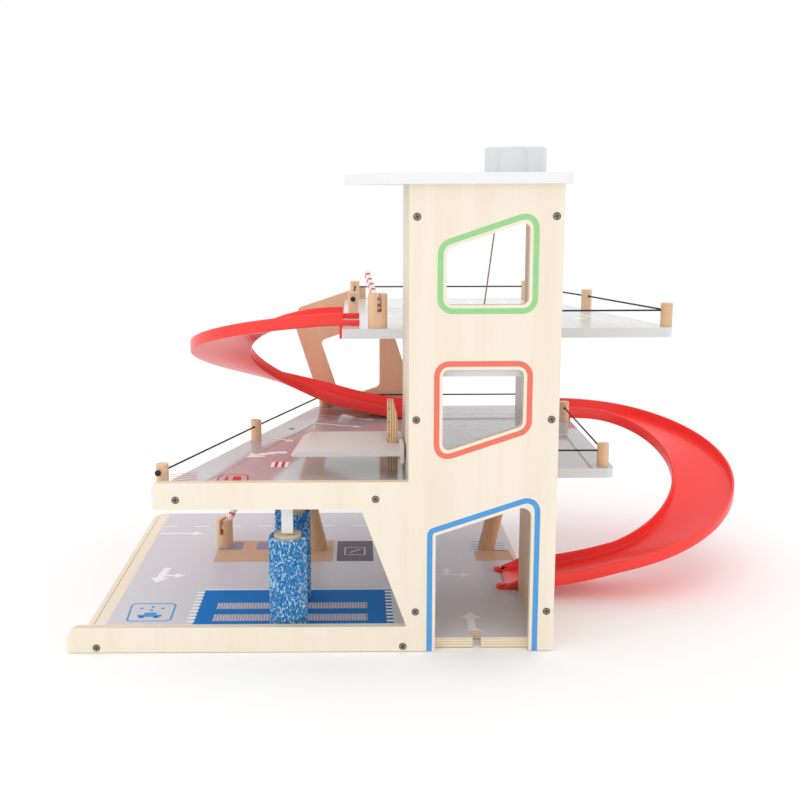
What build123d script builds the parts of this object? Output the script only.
from build123d import *
import os
from math import atan, cos, degrees, radians, sin

# Wooden toy parking garage with a crank lift, two curved ramps, a small car lift,
# a two-brush car wash and two lane barriers.
# Sizes are in millimetres. While modelling, X = 0 is the left face of the lift tower,
# Y = 0 its front face and Z = 0 the floor; the finished pieces are moved together so
# that the origin is the middle of the underside of the whole toy.

# ---- board stock -----------------------------------------------------------------------------
FRONT_T = 9.0            # front panel and back support, plywood
WALL_T = 14.0            # tower side walls
DECK_T = 10.0            # decks, base board and roof
CABIN_T = 6.0            # plates of the lift cabin
FIT = 0.3                # running gap between flat pieces that move past each other
SEAT = 0.05              # glue gap round a tenon or shank
RISE_RUN = 1.0 / 3.0     # slope of every slanted edge on the plywood
OVER = 1.0               # how far a cut runs past the surface it opens

# ---- levels ----------------------------------------------------------------------------------
LEVEL_GROUND = DECK_T    # top of the base board
LEVEL_MID = 157.0        # top of the middle deck
LEVEL_TOP = 300.0        # top of the upper deck

# ---- tower -----------------------------------------------------------------------------------
TOWER_W = 140.0
TOWER_D = 140.0
TOWER_H = 444.0
ROOF_FRONT = 8.0         # overhang at the front
ROOF_SIDE = 7.5          # overhang at the right
ROOF_BACK = 6.0          # overhang at the back
ROOF_WING = 60.0         # overhang at the left
ROOF_CUT_X = 17.0        # where the slanted left edge starts at the front
ROOF_CUT_Y = 105.0       # depth at which the slanted edge reaches the full wing

# ---- front panel -----------------------------------------------------------------------------
RAIL_BASE_LEFT = 329.0   # how far the lower rail runs left of the tower
RAIL_BASE_H = 25.0
RAIL_MID_LEFT = 242.0
RAIL_MID_LOW = 142.5
RAIL_MID_HIGH = 168.5
STRUT_TOP_X = 45.0       # inner edge of the slanting strut at the middle rail
STRUT_FOOT_X = 1.5       # and at the lower rail
DOOR_LEFT = 26.0
DOOR_RIGHT = TOWER_W - 23.5
DOOR_LOW_TOP = 116.0     # height of the doorway at its left side
RED_LEFT = 31.5
RED_RIGHT = TOWER_W - 33.5
RED_HIGH = 275.0
RED_LOW = 196.8          # height of the sill at its left side
GREEN_LEFT = 34.0
GREEN_RIGHT = TOWER_W - 30.5
GREEN_SILL = 335.0
GREEN_LOW_TOP = 386.0    # height of the head at its left side
WINDOW_R = 6.0
RAIL_END_R = 3.0         # corners of the rail ends
RAIL_TOP_R = 5.0
BASE_RAIL_R = 11.0       # rounded shoulder of the lower rail
STRUT_R = 1.5
DOOR_LOW_R = 2.0         # upper corners of the doorway
DOOR_HIGH_R = 9.0

# ---- decks -----------------------------------------------------------------------------------
DECK_BACK = 448.0
BASE_LEFT = 320.0
BASE_CORNER_R = 16.0
BASE_GROOVE_IN = 6.0     # routed line along the left edge of the base board
GROOVE_W = 1.6
GROOVE_DEEP = 1.0
MID_LEFT_FRONT = 249.0
MID_LEFT_BACK = 101.0
MID_RIGHT = 216.0
MID_RIGHT_FRONT = 97.0   # front edge of the part right of the tower
TOP_LEFT = 63.0
TOP_FRONT = 113.0
TOP_RIGHT_FRONT = 278.0
TOP_RIGHT_BACK = 181.0
CORNER_R = 9.0
CORNER_SMALL_R = 2.0

# ---- track socket in the doorway (wooden railway keyhole) ------------------------------------
SOCKET_X = 67.5
SOCKET_BORE = 13.5
SOCKET_NECK = 8.0
SOCKET_BACK = 14.0       # board edge to bore centre
SOCKET_CHAMFER = 1.0

# ---- back support ----------------------------------------------------------------------------
SUPPORT_LEFT_TOP = 130.0
SUPPORT_TOP_LEFT_Z = 286.0
SUPPORT_FIN_RIGHT = 36.0
SUPPORT_RIGHT_TOP = 14.6
SUPPORT_RIGHT_FOOT = 34.0
SUPPORT_HOLE_LEFT = 96.0
SUPPORT_HOLE_RIGHT = 18.0
SUPPORT_HOLE_TOP_Z = 245.0
SUPPORT_HOLE_LOW_Z = 166.0
SUPPORT_HOLE_LOW_X = 70.0   # where the sloping lower edge of the opening has that height
SUPPORT_FOOT_IN = 8.0    # the left edge leans less than the windows do
SUPPORT_NOSE = 18.0      # height of the blunt upper left end
SUPPORT_NOSE_IN = 6.0
SUPPORT_R = 4.0
SUPPORT_HOLE_R = 7.0

# ---- legs ------------------------------------------------------------------------------------
LEG_D = 20.0
LEG_FOOT_LEFT = -94.0
LEG_FOOT_RIGHT = 108.0
LEG_FOOT_Y = 290.0
LEG_LEAN = 33.0          # sideways lean over the height of the leg
LEG_LEAN_BACK = 12.0

# ---- railings --------------------------------------------------------------------------------
POST_D = 12.0
POST_H = 24.0
POST_HOLE_H = 16.5
POST_TENON_D = 6.0
POST_TENON_L = 8.0
ELASTIC_D = 1.8
ELASTIC_HOLE_D = 3.0
ELASTIC_TURN_R = 1.4     # bend of the tight elastic inside a post
ELASTIC_SLIGHT_R = 40.0  # bend where it hardly turns
ELASTIC_SLIGHT = 10.0    # turns below this many degrees count as slight
ELASTIC_TAIL = 8.0       # straight end past the middle of the first post
ELASTIC_IN_WALL = 7.0
KNOT_D = 6.0
POST_EDGE_R = 0.8
HOLE_OVERRUN = 0.8       # the two bores of a corner post meet past its middle
MID_POSTS_LEFT = [(-236.0, 28.0), (-164.0, 239.0), (-92.0, DECK_BACK - 7.0),
                  (206.0, DECK_BACK - 8.0)]
MID_POSTS_RIGHT = [(208.5, 345.0), (206.0, 108.0)]
TOP_POSTS = [(-52.0, 272.0), (-50.0, DECK_BACK - 11.0), (171.0, DECK_BACK - 17.0), (221.0, 291.0),
             (270.0, 125.0)]

# ---- ramps (two channels alike, the upper one turned half round) -----------------------------
RAMP_W = 70.0            # outside width
RAMP_WALL_H = 11.5       # side above the floor of the channel
RAMP_WALL_T = 3.0
RAMP_FLOOR_T = 2.0
RAMP_RUN_IN = 32.0       # straight length at the top
RAMP_R = 112.0           # radius of the middle line
RAMP_TURN = 184.0        # degrees
RAMP_RUN_OUT = 126.0     # straight length at the foot
RAMP_STATIONS = 44
RAMP_UPPER_FRONT = 140.0  # outer side of the upper ramp where it leaves its deck
RAMP_LOWER_BACK = DECK_BACK - 20.0   # outer side of the lower ramp where it leaves its deck
CLIP_REACH = 18.0        # fingers over and lip under the deck
CLIP_T = 3.0
CLIP_FINGER_H = 6.0
LUG_L = 9.0
LUG_W = 13.0
LUG_T = 3.0
LUG_BACK = 6.0           # length under the channel
LUG_HOLE = 4.0
LUG_HOLE_IN = 4.5        # hole centre from the lug's end

# ---- crank and lift --------------------------------------------------------------------------
CRANK_X = TOWER_W - 35.5
CRANK_Y = TOWER_D / 2 + 2.0
CRANK_SHAFT_D = 8.0
CRANK_RUN = 0.05         # radial running clearance of the shaft in the roof
KNOB_H = 24.0
KNOB_LOBES = 6
KNOB_LOBE_D = 30.0
KNOB_LOBE_OUT = 15.5     # centre of each lobe from the axis
KNOB_EDGE_R = 1.5
KNOB_TURN = 15.0         # degrees from the front to the first lobe
KNOB_CORE_D = 48.0
KNOB_BORE_DEEP = 16.0
SPOOL_CORE_D = 27.0
SPOOL_FLANGE_D = 34.0
SPOOL_FLANGE_T = 2.0
SPOOL_H = 12.0
SPOOL_NOTCH_W = 6.0
CORD_UP = 2.5            # where the cord leaves the spool, above its lower flange
LIFT_CORD_D = 1.4
CABIN_SIDE_GAP = 2.0     # play of the cabin in its shaft
CABIN_FRONT_GAP = 3.0
CABIN_BACK_GAP = 4.0
CABIN_X0 = WALL_T + CABIN_SIDE_GAP
CABIN_X1 = TOWER_W - WALL_T - CABIN_SIDE_GAP
CABIN_Y0 = FRONT_T + CABIN_FRONT_GAP
CABIN_Y1 = TOWER_D - CABIN_BACK_GAP
CABIN_INSIDE_H = 110.0
CABIN_CORD_X = TOWER_W / 2
CABIN_CORD_Y = TOWER_D / 2 + 3.0
LIFT_KNOT_D = 6.0
CORD_HOLE_D = 2.4

# ---- small car lift on the middle deck -------------------------------------------------------
MAST_X = -12.0
MAST_T = 10.0
MAST_Y0 = 92.0
MAST_DEPTH = 26.0
MAST_H = 70.0
MAST_EDGE_R = 0.6
MAST_CUT_X = 4.0         # slanted upper right edge
MAST_CUT_Z = 16.0
MAST_SHOULDER_X = 2.0    # the tenon is narrower by this on each side
MAST_SHOULDER_Y = 4.0
MAST_NOTCH = 2.5
MAST_NOTCH_W = 4.5
MAST_NOTCH_H = 3.0
MAST_NOTCHES = 3
MAST_NOTCH_STEP = 14.0
MAST_NOTCH_UP = 6.0      # first notch above the raised platform
PLATFORM_LEFT_FRONT = 114.0
PLATFORM_LEFT_BACK = 105.0
PLATFORM_RIGHT = 2.0
PLATFORM_FRONT = 53.0
PLATFORM_BACK = 149.0
PLATFORM_T = 5.0
PLATFORM_LIFTED = 24.0   # underside above the deck at rest
PLATFORM_LIP = 9.0       # bevelled drive-on edge
PLATFORM_LIP_T = 1.5     # thickness left at that edge
PLATFORM_R = 4.0
SLOT_GAP = 0.6
GUIDE_W = 30.0
GUIDE_UP = 6.0
GUIDE_DOWN = 7.0
GUIDE_T = 4.0

# ---- barriers --------------------------------------------------------------------------------
BARRIER_D = 20.0
BARRIER_H = 35.0
BARRIER_PIVOT_H = 22.0
BARRIER_SLOT_W = 5.0
BARRIER_SLOT_FLOOR = 16.5
BARRIER_EDGE_R = 1.0
BARRIER_PIN_D = 3.0
BARRIER_PIN_IN = 1.0     # pin ends below the side of the post
BARRIER_PIN_HOLE_RUN = 0.1
ARM_L = 60.0
ARM_H = 9.0
ARM_T = 4.2
ARM_RAISED = 28.0        # degrees above level at rest
BARRIER_TOP = (-26.5, 127.0, -11.0)      # x, y, heading of the arm from straight back
BARRIER_GROUND = (-211.0, 304.0, 17.0)

# ---- car wash --------------------------------------------------------------------------------
BRUSH_X = -116.5
BRUSH_FRONT_Y = 31.0
BRUSH_REAR_Y = 119.0
HANGER_W = 11.0
HANGER_L = 36.0
HANGER_TENON = 6.0
AXLE_D = 6.0
AXLE_RUN = 0.08
AXLE_IN_BASE = 5.0
AXLE_IN_HANGER = 12.0
CORE_D = 27.0
CORE_EDGE_R = 1.0
SLEEVE_D = 39.0
SLEEVE_DOWN = 4.0        # bare core above and below the sleeve
BRUSH_FOOT_GAP = 0.3
BRUSH_HANGER_GAP = 1.0

# ---- screws ----------------------------------------------------------------------------------
SCREW_HEAD_D = 7.0
SCREW_HEAD_T = 1.6
SCREW_PROUD = 0.25
SCREW_SHANK_D = 3.6
SCREW_HEX = 3.0
SCREW_HEX_DEEP = 1.0
SCREW_L = 28.0
SCREW_SUNK = 0.5         # screws from below stay clear of the table
SCREW_EDGE = 7.0         # screw line from the side of the tower
SCREW_LEVELS = (40.0, 228.0, 415.0)
SCREW_RAIL_XS = (-220.0, -31.0)
SCREW_BASE_XS = (-301.0, -5.0)
SCREW_DEPTHS = (38.0, 112.0)             # along the depth of the tower walls
SCREW_LEFT_DEPTHS = (38.0, 76.0)         # through the left wall into the middle deck
LEG_SCREW_L = 30.0
SCREW_IN_TOP = 13.0      # screws into the decks, behind their front edges
SCREW_IN_MID = 22.0
SUPPORT_SCREW_MID_XS = (-70.0, 10.0)
SUPPORT_SCREW_TOP_XS = (-42.0, -24.0)


# ---- helpers ---------------------------------------------------------------------------------
def outline(points, radii):
    """Closed flat outline; one radius per corner, 0 for a sharp one."""
    return make_face(FilletPolyline(*points, radius=radii, close=True))


def flat_plate(points, radii, low, thickness):
    """A board lying flat, its underside at height low."""
    face = outline(points, radii)
    return Pos(0, 0, low) * extrude(face, amount=thickness, dir=(0, 0, 1))


def upright_plate(points, radii, front, thickness):
    """A board standing across the toy; points are (x, z), its face at depth front."""
    face = outline(points, radii)
    board = extrude(face, amount=thickness, dir=(0, 0, 1))
    return Pos(0, front + thickness, 0) * Rot(X=90) * board


def block(x0, x1, y0, y1, z0, z1):
    size = Box(x1 - x0, y1 - y0, z1 - z0)
    return Pos((x0 + x1) / 2, (y0 + y1) / 2, (z0 + z1) / 2) * size


def rod(start, heading, diameter, length):
    """Round bar from start along heading."""
    plane = Plane(origin=start, z_dir=heading)
    return extrude(plane * Circle(diameter / 2), amount=length, dir=plane.z_dir)


def upright_rod(x, y, z0, z1, diameter):
    return Pos(x, y, (z0 + z1) / 2) * Cylinder(diameter / 2, z1 - z0)


def slant(x, x_ref, z_ref):
    """Height of the common sloping line at x, given one point on it."""
    return z_ref + (x - x_ref) * RISE_RUN


def screw(x, y, z, heading, length=SCREW_L):
    """Flat-headed screw with a hexagon socket, its head flush at the point given."""
    along = Vector(*heading)
    top = Vector(x, y, z) - along * SCREW_PROUD
    head = rod(top, heading, SCREW_HEAD_D, SCREW_HEAD_T)
    shank = rod(top + along * SCREW_HEAD_T, heading, SCREW_SHANK_D, length - SCREW_HEAD_T)
    plane = Plane(origin=top, z_dir=heading)
    socket = extrude(plane * RegularPolygon(SCREW_HEX / 2, 6, major_radius=False),
                     amount=SCREW_HEX_DEEP, dir=plane.z_dir)
    return (head + shank) - socket


def screw_hole(x, y, z, heading, length=SCREW_L):
    """The recess and hole that the screw above sits in."""
    along = Vector(*heading)
    seat_depth = SCREW_HEAD_T - SCREW_PROUD
    start = Vector(x, y, z)
    recess = rod(start - along * OVER, heading, SCREW_HEAD_D + 4 * SEAT, seat_depth + OVER)
    bore = rod(start, heading, SCREW_SHANK_D + 2 * SEAT, length - SCREW_PROUD + SEAT)
    return recess + bore


def bored(solid, spots, length=SCREW_L):
    """Cut the screw holes at the listed (x, y, z, heading) spots."""
    for x, y, z, heading in spots:
        solid = solid - screw_hole(x, y, z, heading, length)
    return solid


def screw_group(spots, length=SCREW_L):
    return [screw(x, y, z, heading, length) for x, y, z, heading in spots]


# ---- screw positions -------------------------------------------------------------------------
AWAY = (0, 1, 0)
TOWARDS = (0, -1, 0)
LEFTWARD = (-1, 0, 0)
RIGHTWARD = (1, 0, 0)
UPWARD = (0, 0, 1)
DOWNWARD = (0, 0, -1)
WALL_LINES = (SCREW_EDGE, TOWER_W - SCREW_EDGE)
DECK_BACK_FACE = DECK_BACK + FRONT_T

TOWER_SCREWS = [(x, 0, z, AWAY) for x in WALL_LINES for z in SCREW_LEVELS]
RAIL_SCREWS = [(x, 0, LEVEL_MID - DECK_T / 2, AWAY) for x in SCREW_RAIL_XS]
BASE_RAIL_SCREWS = [(x, 0, LEVEL_GROUND - DECK_T / 2, AWAY) for x in SCREW_BASE_XS]
ROOF_SCREWS = [(x, y, TOWER_H + DECK_T, DOWNWARD) for x in WALL_LINES for y in SCREW_DEPTHS]
FLOOR_SCREWS = [(x, y, SCREW_SUNK, UPWARD) for x in WALL_LINES for y in SCREW_DEPTHS]
LEFT_WALL_SCREWS = [(WALL_T, y, LEVEL_MID - DECK_T / 2, LEFTWARD) for y in SCREW_LEFT_DEPTHS]
LEFT_WALL_SCREWS += [(WALL_T, TOP_FRONT + SCREW_IN_TOP, LEVEL_TOP - DECK_T / 2, LEFTWARD)]
RIGHT_WALL_SCREWS = [(TOWER_W - WALL_T, y, level - DECK_T / 2, RIGHTWARD)
                     for y, level in ((MID_RIGHT_FRONT + SCREW_IN_MID, LEVEL_MID),
                                      (TOP_FRONT + SCREW_IN_TOP, LEVEL_TOP))]
SUPPORT_SCREWS = [(x, DECK_BACK_FACE, level - DECK_T / 2, TOWARDS)
                  for xs, level in ((SUPPORT_SCREW_MID_XS, LEVEL_MID),
                                    (SUPPORT_SCREW_TOP_XS, LEVEL_TOP)) for x in xs]


def leg_ends(foot_x, side):
    """Middle of the foot and of the head of a leg; side is -1 left, +1 right."""
    foot = Vector(foot_x, LEG_FOOT_Y, LEVEL_GROUND)
    head = Vector(foot_x + side * LEG_LEAN, LEG_FOOT_Y + LEG_LEAN_BACK, LEVEL_MID - DECK_T)
    return foot, head


LEGS = {"left": leg_ends(LEG_FOOT_LEFT, -1), "right": leg_ends(LEG_FOOT_RIGHT, 1)}
LEG_TOP_SCREWS = [(head.X, head.Y, LEVEL_MID, DOWNWARD) for foot, head in LEGS.values()]
LEG_FOOT_SCREWS = [(foot.X, foot.Y, SCREW_SUNK, UPWARD) for foot, head in LEGS.values()]


# ---- plywood front panel ---------------------------------------------------------------------
def front_panel():
    points = [(DOOR_RIGHT, 0), (TOWER_W, 0), (TOWER_W, TOWER_H), (0, TOWER_H),
              (0, RAIL_MID_HIGH), (-RAIL_MID_LEFT, RAIL_MID_HIGH),
              (-RAIL_MID_LEFT, RAIL_MID_LOW), (-STRUT_TOP_X, RAIL_MID_LOW),
              (-STRUT_FOOT_X, RAIL_BASE_H), (-RAIL_BASE_LEFT, RAIL_BASE_H),
              (-RAIL_BASE_LEFT, 0), (DOOR_LEFT, 0), (DOOR_LEFT, DOOR_LOW_TOP),
              (DOOR_RIGHT, slant(DOOR_RIGHT, DOOR_LEFT, DOOR_LOW_TOP))]
    radii = [0, 0, 0, 0, 0, RAIL_TOP_R, RAIL_END_R, 0, STRUT_R, BASE_RAIL_R, RAIL_END_R, 0,
             DOOR_LOW_R, DOOR_HIGH_R]
    panel = upright_plate(points, radii, 0, FRONT_T)
    red = [(RED_LEFT, RED_LOW), (RED_RIGHT, slant(RED_RIGHT, RED_LEFT, RED_LOW)),
           (RED_RIGHT, RED_HIGH), (RED_LEFT, RED_HIGH)]
    green = [(GREEN_LEFT, GREEN_SILL), (GREEN_RIGHT, GREEN_SILL),
             (GREEN_RIGHT, slant(GREEN_RIGHT, GREEN_LEFT, GREEN_LOW_TOP)),
             (GREEN_LEFT, GREEN_LOW_TOP)]
    for window in (red, green):
        panel = panel - upright_plate(window, [WINDOW_R] * 4, -OVER, FRONT_T + 2 * OVER)
    return bored(panel, TOWER_SCREWS + RAIL_SCREWS + BASE_RAIL_SCREWS)


# ---- tower -----------------------------------------------------------------------------------
def elastic_hole_in_wall(level, y):
    """Blind hole in the right wall for the end of an elastic."""
    return rod((TOWER_W + OVER, y, level + POST_HOLE_H), LEFTWARD, ELASTIC_HOLE_D,
               ELASTIC_IN_WALL + 2 * OVER)


def tower_wall(side):
    """A side wall from the base board to the roof; side is 0 left, 1 right."""
    x0 = side * (TOWER_W - WALL_T)
    wall = block(x0, x0 + WALL_T, FRONT_T, TOWER_D, LEVEL_GROUND, TOWER_H)
    if side == 0:
        wall = bored(wall, [s for s in TOWER_SCREWS if s[0] < TOWER_W / 2] + LEFT_WALL_SCREWS)
        tops = [s for s in ROOF_SCREWS + FLOOR_SCREWS if s[0] < TOWER_W / 2]
    else:
        wall = bored(wall, [s for s in TOWER_SCREWS if s[0] > TOWER_W / 2] + RIGHT_WALL_SCREWS)
        tops = [s for s in ROOF_SCREWS + FLOOR_SCREWS if s[0] > TOWER_W / 2]
        wall = wall - elastic_hole_in_wall(LEVEL_MID, MID_POSTS_RIGHT[-1][1])
        wall = wall - elastic_hole_in_wall(LEVEL_TOP, TOP_POSTS[-1][1])
    return bored(wall, tops)


def roof():
    right = TOWER_W + ROOF_SIDE
    back = TOWER_D + ROOF_BACK
    points = [(-ROOF_CUT_X, -ROOF_FRONT), (right, -ROOF_FRONT), (right, back),
              (-ROOF_WING, back), (-ROOF_WING, ROOF_CUT_Y)]
    plate = flat_plate(points, [CORNER_R] * 5, TOWER_H, DECK_T)
    shaft_hole = upright_rod(CRANK_X, CRANK_Y, TOWER_H - OVER, TOWER_H + DECK_T + OVER,
                             CRANK_SHAFT_D + 2 * CRANK_RUN)
    return bored(plate - shaft_hole, ROOF_SCREWS)


# ---- base board and decks --------------------------------------------------------------------
def track_socket():
    """Keyhole for the peg of a wooden railway track, open to the front edge."""
    y = FRONT_T + SOCKET_BACK
    top = LEVEL_GROUND
    cut = upright_rod(SOCKET_X, y, -OVER, top + OVER, SOCKET_BORE)
    half = SOCKET_NECK / 2
    cut = cut + block(SOCKET_X - half, SOCKET_X + half, FRONT_T - OVER, y, -OVER, top + OVER)
    rim = Pos(SOCKET_X, y, top - SOCKET_CHAMFER / 2) * Cone(
        SOCKET_BORE / 2, SOCKET_BORE / 2 + SOCKET_CHAMFER, SOCKET_CHAMFER)
    return cut + rim


def base_board():
    points = [(-BASE_LEFT, FRONT_T), (TOWER_W, FRONT_T), (TOWER_W, DECK_BACK),
              (-BASE_LEFT, DECK_BACK)]
    board = flat_plate(points, [0, 0, CORNER_R, BASE_CORNER_R], 0, DECK_T)
    groove_x = -BASE_LEFT + BASE_GROOVE_IN
    groove = block(groove_x - GROOVE_W / 2, groove_x + GROOVE_W / 2, FRONT_T - OVER,
                   DECK_BACK - BASE_CORNER_R, LEVEL_GROUND - GROOVE_DEEP, LEVEL_GROUND + OVER)
    board = board - track_socket() - groove
    for y in (BRUSH_FRONT_Y, BRUSH_REAR_Y):
        board = board - upright_rod(BRUSH_X, y, LEVEL_GROUND - AXLE_IN_BASE, LEVEL_GROUND + OVER,
                                    AXLE_D + 2 * SEAT)
    board = board - post_socket(BARRIER_GROUND[0], BARRIER_GROUND[1], LEVEL_GROUND)
    board = bored(board, BASE_RAIL_SCREWS + FLOOR_SCREWS)
    return bored(board, LEG_FOOT_SCREWS, LEG_SCREW_L)


def post_socket(x, y, level):
    """Hole in a deck for the tenon of a post."""
    return upright_rod(x, y, level - POST_TENON_L, level + OVER, POST_TENON_D + 2 * SEAT)


def mid_deck():
    points = [(-MID_LEFT_FRONT, FRONT_T), (0, FRONT_T), (0, TOWER_D), (TOWER_W, TOWER_D),
              (TOWER_W, MID_RIGHT_FRONT), (MID_RIGHT, MID_RIGHT_FRONT), (MID_RIGHT, DECK_BACK),
              (-MID_LEFT_BACK, DECK_BACK)]
    radii = [CORNER_R, 0, 0, 0, 0, CORNER_R, CORNER_R, CORNER_R]
    deck = flat_plate(points, radii, LEVEL_MID - DECK_T, DECK_T)
    for x, y in MID_POSTS_LEFT + MID_POSTS_RIGHT:
        deck = deck - post_socket(x, y, LEVEL_MID)
    for y in (BRUSH_FRONT_Y, BRUSH_REAR_Y):
        deck = deck - upright_rod(BRUSH_X, y, LEVEL_MID - DECK_T - OVER,
                                  LEVEL_MID - DECK_T + HANGER_TENON, AXLE_D + 2 * SEAT)
    deck = deck - mast_tenon(2 * SEAT)
    deck = bored(deck, RAIL_SCREWS + LEFT_WALL_SCREWS + RIGHT_WALL_SCREWS + SUPPORT_SCREWS)
    return bored(deck, LEG_TOP_SCREWS, LEG_SCREW_L)


def top_deck():
    points = [(-TOP_LEFT, TOP_FRONT), (0, TOP_FRONT), (0, TOWER_D), (TOWER_W, TOWER_D),
              (TOWER_W, TOP_FRONT), (TOP_RIGHT_FRONT, TOP_FRONT), (TOP_RIGHT_BACK, DECK_BACK),
              (-TOP_LEFT, DECK_BACK)]
    radii = [CORNER_SMALL_R, 0, 0, 0, 0, CORNER_R, CORNER_R, CORNER_R]
    deck = flat_plate(points, radii, LEVEL_TOP - DECK_T, DECK_T)
    for x, y in TOP_POSTS:
        deck = deck - post_socket(x, y, LEVEL_TOP)
    deck = deck - post_socket(BARRIER_TOP[0], BARRIER_TOP[1], LEVEL_TOP)
    return bored(deck, LEFT_WALL_SCREWS + RIGHT_WALL_SCREWS + SUPPORT_SCREWS)


def back_support():
    """Slanting plywood frame screwed to the back edges of the two decks."""
    low = LEVEL_MID - DECK_T
    right_slope = (SUPPORT_RIGHT_FOOT - SUPPORT_RIGHT_TOP) / (LEVEL_TOP - LEVEL_MID)
    head_z = LEVEL_TOP
    foot_x = -SUPPORT_RIGHT_FOOT - (LEVEL_MID - low) * right_slope
    left_foot = (SUPPORT_LEFT_TOP - (SUPPORT_TOP_LEFT_Z - low) * RISE_RUN) + SUPPORT_FOOT_IN
    nose_x = -SUPPORT_LEFT_TOP + SUPPORT_NOSE_IN
    points = [(-SUPPORT_LEFT_TOP, SUPPORT_TOP_LEFT_Z - SUPPORT_NOSE), (-left_foot, low),
              (-foot_x, low), (-SUPPORT_RIGHT_TOP, head_z), (-SUPPORT_FIN_RIGHT, head_z),
              (-SUPPORT_FIN_RIGHT, slant(-SUPPORT_FIN_RIGHT, -SUPPORT_LEFT_TOP, SUPPORT_TOP_LEFT_Z)),
              (nose_x, slant(nose_x, -SUPPORT_LEFT_TOP, SUPPORT_TOP_LEFT_Z))]
    radii = [SUPPORT_R, 0, 0, 0, 0, SUPPORT_R, SUPPORT_R]
    board = upright_plate(points, radii, DECK_BACK, FRONT_T)
    hole = [(-SUPPORT_HOLE_LEFT, SUPPORT_HOLE_TOP_Z),
            (-SUPPORT_HOLE_LEFT + (SUPPORT_HOLE_TOP_Z - SUPPORT_HOLE_LOW_Z) * RISE_RUN,
             SUPPORT_HOLE_LOW_Z),
            (-SUPPORT_HOLE_RIGHT, slant(-SUPPORT_HOLE_RIGHT, -SUPPORT_HOLE_LOW_X,
                                        SUPPORT_HOLE_LOW_Z)),
            (-SUPPORT_HOLE_RIGHT, slant(-SUPPORT_HOLE_RIGHT, -SUPPORT_HOLE_LEFT,
                                        SUPPORT_HOLE_TOP_Z))]
    board = board - upright_plate(hole, [SUPPORT_HOLE_R] * 4, DECK_BACK - OVER,
                                  FRONT_T + 2 * OVER)
    return bored(board, SUPPORT_SCREWS)


# ---- legs ------------------------------------------------------------------------------------
def leg(name):
    """Splayed dowel between base board and middle deck, cut level at both ends."""
    foot, head = LEGS[name]
    along = (head - foot).normalized()
    reach = LEG_D
    dowel = rod(foot - along * reach, along, LEG_D, (head - foot).length + 2 * reach)
    room = LEG_LEAN + LEG_D
    keep = block(foot.X - room, foot.X + room, foot.Y - room, foot.Y + room, LEVEL_GROUND,
                 LEVEL_MID - DECK_T)
    return bored(dowel & keep, LEG_TOP_SCREWS + LEG_FOOT_SCREWS, LEG_SCREW_L)


# ---- railings --------------------------------------------------------------------------------
def elastic_route(posts, level, to_wall):
    """Straight from post to post, with a short tail through the first one."""
    z = level + POST_HOLE_H
    route = [Vector(x, y, z) for x, y in posts]
    tail = (route[0] - route[1]).normalized() * ELASTIC_TAIL
    start = [route[0] + tail]
    if to_wall:
        end = [Vector(TOWER_W - ELASTIC_IN_WALL, posts[-1][1], z)]
    else:
        end = [route[-1] + (route[-1] - route[-2]).normalized() * ELASTIC_TAIL]
        route = route[:-1]
    return start + route[1:] + end


def turn_at(before, here, after):
    """How far a route turns at a point, in degrees."""
    return (here - before).get_angle(after - here)


def elastic_bends(route):
    """Bend radius at each inner point of the route."""
    turns = [turn_at(*route[i:i + 3]) for i in range(len(route) - 2)]
    return [ELASTIC_SLIGHT_R if turn < ELASTIC_SLIGHT else ELASTIC_TURN_R for turn in turns]


def elastic(posts, level, to_wall):
    """Round elastic drawn through the posts, knotted where it ends at a post."""
    route = elastic_route(posts, level, to_wall)
    path = FilletPolyline(*route, radius=elastic_bends(route))
    heading = (route[1] - route[0]).normalized()
    section = Plane(origin=route[0], z_dir=heading) * Circle(ELASTIC_D / 2)
    cord = sweep(section, path=path)
    ends = [route[0]] if to_wall else [route[0], route[-1]]
    for end in ends:
        inward = posts[0] if end == route[0] else posts[-1]
        middle = Vector(inward[0], inward[1], end.Z)
        out = (end - middle).normalized()
        knot = Pos(middle + out * (POST_D / 2 + KNOT_D / 2 + 2 * SEAT)) * Sphere(KNOT_D / 2)
        cord = cord + knot
    return cord


def post(x, y, level, headings):
    """Dowel post with a tenon below and a hole along each run of the elastic."""
    body = upright_rod(x, y, level, level + POST_H, POST_D)
    body = fillet(body.edges().group_by(Axis.Z)[-1], POST_EDGE_R)
    body = body + upright_rod(x, y, level - POST_TENON_L, level, POST_TENON_D)
    middle = Vector(x, y, level + POST_HOLE_H)
    if len(headings) == 1:
        heading = headings[0]
        return body - rod(middle - heading * POST_D, heading, ELASTIC_HOLE_D, 2 * POST_D)
    for heading in headings:
        body = body - rod(middle - heading * HOLE_OVERRUN, heading, ELASTIC_HOLE_D, POST_D)
    return body


def post_row(posts, level, to_wall):
    """All posts of one elastic, each bored towards its neighbours."""
    stops = [Vector(x, y, 0) for x, y in posts]
    if to_wall:
        stops.append(Vector(TOWER_W, posts[-1][1], 0))
    row = []
    for i, (x, y) in enumerate(posts):
        here = stops[i]
        before = stops[max(i - 1, 0)]
        after = stops[min(i + 1, len(stops) - 1)]
        inner = 0 < i < len(stops) - 1
        if inner and turn_at(before, here, after) >= ELASTIC_SLIGHT:
            headings = [(before - here).normalized(), (after - here).normalized()]
        else:
            headings = [(after - before).normalized()]
        row.append(post(x, y, level, headings))
    return row


# ---- ramps -----------------------------------------------------------------------------------
RAMP_ARC = RAMP_R * radians(RAMP_TURN)
RAMP_LENGTH = RAMP_RUN_IN + RAMP_ARC + RAMP_RUN_OUT


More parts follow.
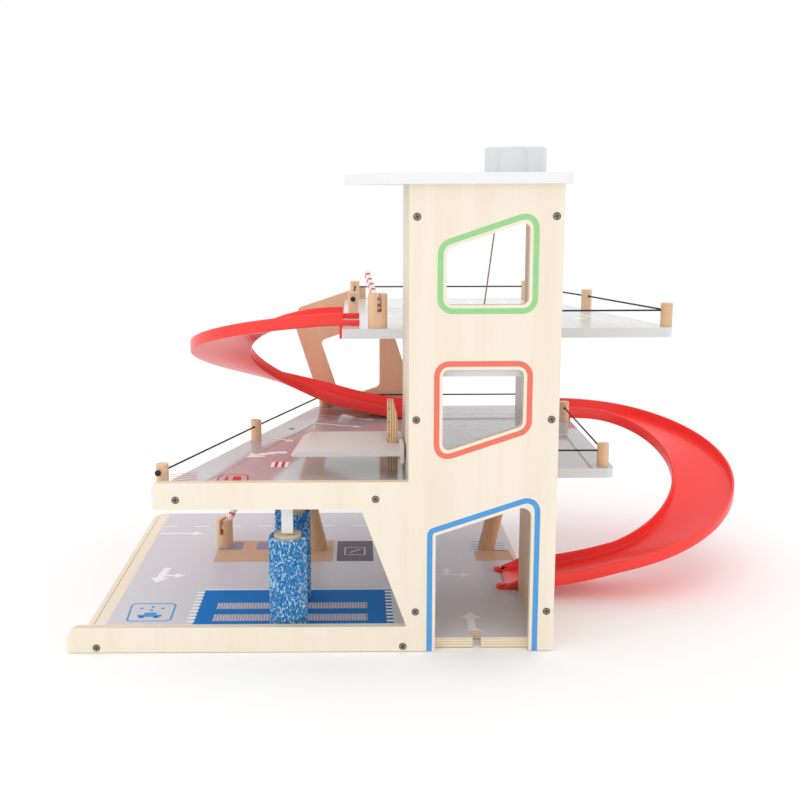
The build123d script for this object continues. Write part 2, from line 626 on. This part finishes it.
def ramp_point(s, drop):
    """Middle line of the channel floor at length s: x, y, z below the start, heading."""
    turned = min(max((s - RAMP_RUN_IN) / RAMP_R, 0.0), radians(RAMP_TURN))
    past = max(s - RAMP_RUN_IN - RAMP_ARC, 0.0)
    x = min(s, RAMP_RUN_IN) + RAMP_R * sin(turned) + past * cos(turned)
    y = -RAMP_R * (1 - cos(turned)) - past * sin(turned)
    u = s / RAMP_LENGTH
    z = -drop * u * u * (3 - 2 * u)
    return x, y, z, turned


def ramp_section(s, drop):
    """U-shaped section of the channel, square to its heading seen from above."""
    x, y, z, turned = ramp_point(s, drop)
    half = RAMP_W / 2
    inner = half - RAMP_WALL_T
    top = RAMP_FLOOR_T + RAMP_WALL_H
    profile = [(-half, 0), (half, 0), (half, top), (inner, top), (inner, RAMP_FLOOR_T),
               (-inner, RAMP_FLOOR_T), (-inner, top), (-half, top)]
    corners = [Vector(x + a * sin(turned), y + a * cos(turned), z + b) for a, b in profile]
    return Polyline(*corners, close=True)


def ramp(drop, deck_t):
    """Moulded channel with a clip for the deck edge at its head and lugs at its foot.

    It starts at the deck edge x = 0 and runs towards +X, its outer side at y = 0.
    """
    stations = [RAMP_LENGTH * i / (RAMP_STATIONS - 1) for i in range(RAMP_STATIONS)]
    sections = [Face(Wire(ramp_section(s, drop).edges())) for s in stations]
    channel = loft(sections, ruled=True)
    half = RAMP_W / 2
    under = -deck_t - FIT
    hook = block(0, CLIP_T, -half, half, under - CLIP_T, RAMP_FLOOR_T)
    lip = block(-CLIP_REACH, CLIP_T, -half, half, under - CLIP_T, under)
    body = channel + Pos(FIT, 0, 0) * (hook + lip)
    for y0 in (-half, half - RAMP_WALL_T):
        finger = block(-CLIP_REACH, RAMP_WALL_T, y0, y0 + RAMP_WALL_T, FIT, CLIP_FINGER_H + FIT)
        body = body + Pos(FIT, 0, 0) * finger
    x, y, z, turned = ramp_point(RAMP_LENGTH, drop)
    for middle in (LUG_W / 2 - half, half - LUG_W / 2):
        lug = block(-LUG_BACK, LUG_L, middle - LUG_W / 2, middle + LUG_W / 2, 0, LUG_T)
        lug = lug - upright_rod(LUG_L - LUG_HOLE_IN, middle, -OVER, LUG_T + OVER, LUG_HOLE)
        body = body + Pos(x, y, z) * Rot(Z=-degrees(turned)) * lug
    return Pos(0, -half, 0) * body


def lower_ramp():
    """From the right edge of the middle deck down to the base board."""
    drop = LEVEL_MID - LEVEL_GROUND
    return Pos(MID_RIGHT, RAMP_LOWER_BACK, LEVEL_MID) * ramp(drop, DECK_T)


def upper_ramp():
    """From the left edge of the upper deck down to the middle deck."""
    drop = LEVEL_TOP - LEVEL_MID
    return Pos(-TOP_LEFT, RAMP_UPPER_FRONT, LEVEL_TOP) * Rot(Z=180) * ramp(drop, DECK_T)


# ---- crank and lift --------------------------------------------------------------------------
ROOF_TOP = TOWER_H + DECK_T
SPOOL_TOP = TOWER_H - FIT
SPOOL_LOW = SPOOL_TOP - SPOOL_H
CORD_TOP_Z = SPOOL_LOW + SPOOL_FLANGE_T + CORD_UP
CABIN_FLOOR_TOP = LEVEL_MID
CABIN_ROOF_LOW = CABIN_FLOOR_TOP + CABIN_INSIDE_H
CABIN_TOP = CABIN_ROOF_LOW + CABIN_T


def crank_knob():
    knob = Cylinder(KNOB_CORE_D / 2, KNOB_H)
    for i in range(KNOB_LOBES):
        turn = Rot(Z=360 * i / KNOB_LOBES + KNOB_TURN)
        knob = knob + turn * Pos(KNOB_LOBE_OUT, 0, 0) * Cylinder(KNOB_LOBE_D / 2, KNOB_H)
    knob = fillet(knob.edges().group_by(Axis.Z)[-1], KNOB_EDGE_R)
    knob = Pos(CRANK_X, CRANK_Y, ROOF_TOP + FIT + KNOB_H / 2) * knob
    return knob - upright_rod(CRANK_X, CRANK_Y, ROOF_TOP, ROOF_TOP + FIT + KNOB_BORE_DEEP,
                              CRANK_SHAFT_D + 2 * SEAT)


def crank_shaft():
    return upright_rod(CRANK_X, CRANK_Y, SPOOL_LOW, ROOF_TOP + FIT + KNOB_BORE_DEEP, CRANK_SHAFT_D)


def winding_spool():
    core = upright_rod(CRANK_X, CRANK_Y, SPOOL_LOW, SPOOL_TOP, SPOOL_CORE_D)
    for z in (SPOOL_LOW, SPOOL_TOP - SPOOL_FLANGE_T):
        core = core + upright_rod(CRANK_X, CRANK_Y, z, z + SPOOL_FLANGE_T, SPOOL_FLANGE_D)
    notch = block(CRANK_X - SPOOL_FLANGE_D, CRANK_X - SPOOL_CORE_D / 2,
                  CRANK_Y - SPOOL_NOTCH_W / 2, CRANK_Y + SPOOL_NOTCH_W / 2,
                  SPOOL_LOW - OVER, SPOOL_LOW + SPOOL_FLANGE_T)
    core = core - notch
    return core - upright_rod(CRANK_X, CRANK_Y, SPOOL_LOW - OVER, SPOOL_TOP + OVER,
                              CRANK_SHAFT_D + 2 * SEAT)


def lift_cord():
    """The cord from the spool down to the roof of the cabin, pulled straight."""
    x_top = CRANK_X - SPOOL_CORE_D / 2 - LIFT_CORD_D / 2 - 2 * SEAT
    top = Vector(x_top, CRANK_Y, CORD_TOP_Z)
    low = Vector(CABIN_CORD_X, CABIN_CORD_Y, CABIN_TOP)
    reach = 2 * LIFT_CORD_D
    along = (low - top).normalized()
    cord = rod(top - along * reach, along, LIFT_CORD_D, (low - top).length + 2 * reach)
    keep = block(0, TOWER_W, 0, TOWER_D, CABIN_TOP, CORD_TOP_Z)
    return cord & keep


def cabin_cord_knot():
    """Knot under the cabin roof, with the bit of cord in its hole."""
    stub = upright_rod(CABIN_CORD_X, CABIN_CORD_Y, CABIN_ROOF_LOW - OVER, CABIN_TOP, LIFT_CORD_D)
    knot = Pos(CABIN_CORD_X, CABIN_CORD_Y, CABIN_ROOF_LOW - LIFT_KNOT_D / 2) * Sphere(LIFT_KNOT_D / 2)
    return stub + knot


def cabin_floor():
    return block(CABIN_X0 + CABIN_T, CABIN_X1 - CABIN_T, CABIN_Y0, CABIN_Y1,
                 CABIN_FLOOR_TOP - CABIN_T, CABIN_FLOOR_TOP)


def cabin_side(side):
    x0 = CABIN_X0 if side == 0 else CABIN_X1 - CABIN_T
    return block(x0, x0 + CABIN_T, CABIN_Y0, CABIN_Y1, CABIN_FLOOR_TOP - CABIN_T, CABIN_ROOF_LOW)


def cabin_roof():
    plate = block(CABIN_X0, CABIN_X1, CABIN_Y0, CABIN_Y1, CABIN_ROOF_LOW, CABIN_TOP)
    return plate - upright_rod(CABIN_CORD_X, CABIN_CORD_Y, CABIN_ROOF_LOW - OVER,
                               CABIN_TOP + OVER, CORD_HOLE_D)


# ---- small car lift --------------------------------------------------------------------------
MAST_TOP = LEVEL_MID + MAST_H


def mast_tenon(extra=0.0):
    half = MAST_T / 2 - MAST_SHOULDER_X + extra / 2
    low = LEVEL_MID - POST_TENON_L - extra / 2
    return block(MAST_X - half, MAST_X + half, MAST_Y0 + MAST_SHOULDER_Y - extra / 2,
                 MAST_Y0 + MAST_DEPTH - MAST_SHOULDER_Y + extra / 2, low, LEVEL_MID + extra)


def car_lift_mast():
    """Plywood mast on edge, with notches that hold the platform."""
    left, right = MAST_X - MAST_T / 2, MAST_X + MAST_T / 2
    points = [(left, LEVEL_MID), (right, LEVEL_MID), (right, MAST_TOP - MAST_CUT_Z),
              (right - MAST_CUT_X, MAST_TOP), (left, MAST_TOP)]
    mast = upright_plate(points, [0, 0, MAST_CUT_X, MAST_EDGE_R, MAST_EDGE_R], MAST_Y0, MAST_DEPTH)
    for i in range(MAST_NOTCHES):
        z = LEVEL_MID + PLATFORM_LIFTED + PLATFORM_T + MAST_NOTCH_UP + i * MAST_NOTCH_STEP
        mast = mast - block(left - OVER, left + MAST_NOTCH, MAST_Y0 - OVER,
                            MAST_Y0 + MAST_NOTCH_W, z, z + MAST_NOTCH_H)
    return mast + mast_tenon()


def car_platform():
    low = LEVEL_MID + PLATFORM_LIFTED
    high = low + PLATFORM_T
    points = [(-PLATFORM_LEFT_FRONT, PLATFORM_FRONT), (-PLATFORM_RIGHT, PLATFORM_FRONT),
              (-PLATFORM_RIGHT, PLATFORM_BACK), (-PLATFORM_LEFT_BACK, PLATFORM_BACK)]
    plate = flat_plate(points, [PLATFORM_R, PLATFORM_R / 2, PLATFORM_R, PLATFORM_R], low, PLATFORM_T)
    slot = block(MAST_X - MAST_T / 2 - SLOT_GAP, MAST_X + MAST_T / 2 + SLOT_GAP, MAST_Y0 - SLOT_GAP,
                 MAST_Y0 + MAST_DEPTH + SLOT_GAP, low - OVER, high + OVER)
    plate = plate - slot
    depth = PLATFORM_BACK - PLATFORM_FRONT
    lean = degrees(atan((PLATFORM_LEFT_FRONT - PLATFORM_LEFT_BACK) / depth))
    fall = (PLATFORM_T - PLATFORM_LIP_T) / PLATFORM_LIP
    wedge = upright_plate([(-PLATFORM_LIP, -2 * PLATFORM_LIP * fall), (PLATFORM_LIP, 0),
                           (-PLATFORM_LIP, OVER)], [0, 0, 0], -depth, 2 * depth)
    mid_y = (PLATFORM_FRONT + PLATFORM_BACK) / 2
    mid_x = -(PLATFORM_LEFT_FRONT + PLATFORM_LEFT_BACK) / 2
    plate = plate - Pos(mid_x, mid_y, high) * Rot(Z=-lean) * wedge
    guide = block(-PLATFORM_RIGHT - GUIDE_T, -PLATFORM_RIGHT, PLATFORM_FRONT, PLATFORM_FRONT + GUIDE_W,
                  low - GUIDE_DOWN, high + GUIDE_UP)
    return plate + guide


# ---- barriers --------------------------------------------------------------------------------
def barrier_axes(place):
    x, y, turn = place
    back = Vector(sin(radians(turn)), cos(radians(turn)), 0)
    across = Vector(back.Y, -back.X, 0)
    return x, y, back, across


def barrier_post(place, level):
    x, y, back, across = barrier_axes(place)
    body = upright_rod(x, y, level, level + BARRIER_H, BARRIER_D)
    body = fillet(body.edges().group_by(Axis.Z)[-1], BARRIER_EDGE_R)
    turned = Pos(x, y, 0) * Rot(Z=-place[2])
    slot = block(-BARRIER_SLOT_W / 2, BARRIER_SLOT_W / 2, -BARRIER_D, BARRIER_D,
                 level + BARRIER_SLOT_FLOOR, level + BARRIER_H + OVER)
    body = body - turned * slot
    pivot = Vector(x, y, level + BARRIER_PIVOT_H)
    hole = rod(pivot - across * BARRIER_D, across, BARRIER_PIN_D + 2 * SEAT, 2 * BARRIER_D)
    body = body - hole
    return body + upright_rod(x, y, level - POST_TENON_L, level, POST_TENON_D)


def barrier_pin(place, level):
    x, y, back, across = barrier_axes(place)
    pivot = Vector(x, y, level + BARRIER_PIVOT_H)
    half = BARRIER_D / 2 - BARRIER_PIN_IN
    return rod(pivot - across * half, across, BARRIER_PIN_D, 2 * half)


def barrier_arm(place, level):
    x, y, back, across = barrier_axes(place)
    face = Pos(ARM_L / 2, 0, 0) * Rectangle(ARM_L, ARM_H) + Circle(ARM_H / 2)
    face = face + Pos(ARM_L, 0, 0) * Circle(ARM_H / 2)
    face = face - Circle(BARRIER_PIN_D / 2 + BARRIER_PIN_HOLE_RUN)
    arm = extrude(face, amount=ARM_T / 2, both=True)
    arm = Rot(Z=ARM_RAISED) * arm
    plane = Plane(origin=(x, y, level + BARRIER_PIVOT_H), x_dir=back, z_dir=across)
    return plane * arm


# ---- car wash --------------------------------------------------------------------------------
MID_UNDERSIDE = LEVEL_MID - DECK_T
HANGER_LOW = MID_UNDERSIDE - HANGER_L
CORE_LOW = LEVEL_GROUND + BRUSH_FOOT_GAP
CORE_HIGH = HANGER_LOW - BRUSH_HANGER_GAP


def wash_hanger(y):
    half = HANGER_W / 2
    bar = block(BRUSH_X - half, BRUSH_X + half, y - half, y + half, HANGER_LOW, MID_UNDERSIDE)
    bar = bar + upright_rod(BRUSH_X, y, MID_UNDERSIDE, MID_UNDERSIDE + HANGER_TENON, AXLE_D)
    return bar - upright_rod(BRUSH_X, y, HANGER_LOW - OVER, HANGER_LOW + AXLE_IN_HANGER,
                             AXLE_D + 2 * SEAT)


def wash_axle(y):
    return upright_rod(BRUSH_X, y, LEVEL_GROUND - AXLE_IN_BASE, HANGER_LOW + AXLE_IN_HANGER, AXLE_D)


def brush_core(y):
    core = upright_rod(BRUSH_X, y, CORE_LOW, CORE_HIGH, CORE_D)
    core = fillet(core.edges().group_by(Axis.Z)[-1], CORE_EDGE_R)
    return core - upright_rod(BRUSH_X, y, CORE_LOW - OVER, CORE_HIGH + OVER, AXLE_D + 2 * AXLE_RUN)


def brush_sleeve(y):
    low = CORE_LOW + SLEEVE_DOWN / 2
    high = CORE_HIGH - SLEEVE_DOWN
    sleeve = upright_rod(BRUSH_X, y, low, high, SLEEVE_D)
    return sleeve - upright_rod(BRUSH_X, y, low - OVER, high + OVER, CORE_D + 2 * SEAT)


# ---- all pieces ------------------------------------------------------------------------------
def all_pieces():
    pieces = {
        "front_panel": front_panel(),
        "tower_wall_left": tower_wall(0),
        "tower_wall_right": tower_wall(1),
        "roof": roof(),
        "base_board": base_board(),
        "mid_deck": mid_deck(),
        "top_deck": top_deck(),
        "back_support": back_support(),
        "leg_left": leg("left"),
        "leg_right": leg("right"),
        "upper_ramp": upper_ramp(),
        "lower_ramp": lower_ramp(),
        "crank_knob": crank_knob(),
        "crank_shaft": crank_shaft(),
        "winding_spool": winding_spool(),
        "lift_cord": lift_cord(),
        "cabin_cord_knot": cabin_cord_knot(),
        "cabin_floor": cabin_floor(),
        "cabin_side_left": cabin_side(0),
        "cabin_side_right": cabin_side(1),
        "cabin_roof": cabin_roof(),
        "car_lift_mast": car_lift_mast(),
        "car_platform": car_platform(),
        "mid_elastic_left": elastic(MID_POSTS_LEFT, LEVEL_MID, False),
        "mid_elastic_right": elastic(MID_POSTS_RIGHT, LEVEL_MID, True),
        "top_elastic": elastic(TOP_POSTS, LEVEL_TOP, True),
    }
    rows = (("mid_post_left", MID_POSTS_LEFT, LEVEL_MID, False),
            ("mid_post_right", MID_POSTS_RIGHT, LEVEL_MID, True),
            ("top_post", TOP_POSTS, LEVEL_TOP, True))
    for name, posts, level, to_wall in rows:
        for i, solid in enumerate(post_row(posts, level, to_wall)):
            pieces[f"{name}_{i + 1}"] = solid
    for name, place, level in (("top", BARRIER_TOP, LEVEL_TOP), ("ground", BARRIER_GROUND, LEVEL_GROUND)):
        pieces[f"barrier_post_{name}"] = barrier_post(place, level)
        pieces[f"barrier_pin_{name}"] = barrier_pin(place, level)
        pieces[f"barrier_arm_{name}"] = barrier_arm(place, level)
    for name, y in (("front", BRUSH_FRONT_Y), ("rear", BRUSH_REAR_Y)):
        pieces[f"wash_hanger_{name}"] = wash_hanger(y)
        pieces[f"wash_axle_{name}"] = wash_axle(y)
        pieces[f"brush_core_{name}"] = brush_core(y)
        pieces[f"brush_sleeve_{name}"] = brush_sleeve(y)
    groups = {
        "front_screws": screw_group(TOWER_SCREWS + RAIL_SCREWS + BASE_RAIL_SCREWS),
        "deck_screws": screw_group(LEFT_WALL_SCREWS + RIGHT_WALL_SCREWS),
        "roof_screws": screw_group(ROOF_SCREWS),
        "base_screws": screw_group(FLOOR_SCREWS),
        "support_screws": screw_group(SUPPORT_SCREWS),
        "leg_screws": screw_group(LEG_TOP_SCREWS + LEG_FOOT_SCREWS, LEG_SCREW_L),
    }
    for name, screws in groups.items():
        pieces[name] = Compound(children=screws)
    return pieces


def footprint_middle(pieces):
    """Middle of the footprint, so that the toy stands centred on the origin."""
    boxes = [piece.bounding_box() for piece in pieces.values()]
    x = (min(b.min.X for b in boxes) + max(b.max.X for b in boxes)) / 2
    y = (min(b.min.Y for b in boxes) + max(b.max.Y for b in boxes)) / 2
    return x, y


PIECES = all_pieces()
ORIGIN_X, ORIGIN_Y = footprint_middle(PIECES)

os.makedirs("parts", exist_ok=True)
for node, piece in PIECES.items():
    export_step(Pos(-ORIGIN_X, -ORIGIN_Y, 0) * piece, f"parts/{node}.step")
print("nodes", len(PIECES), "origin", round(ORIGIN_X, 3), round(ORIGIN_Y, 3))
print("elastic bend radii", ELASTIC_TURN_R, ELASTIC_SLIGHT_R, "ramp length", round(RAMP_LENGTH, 1))
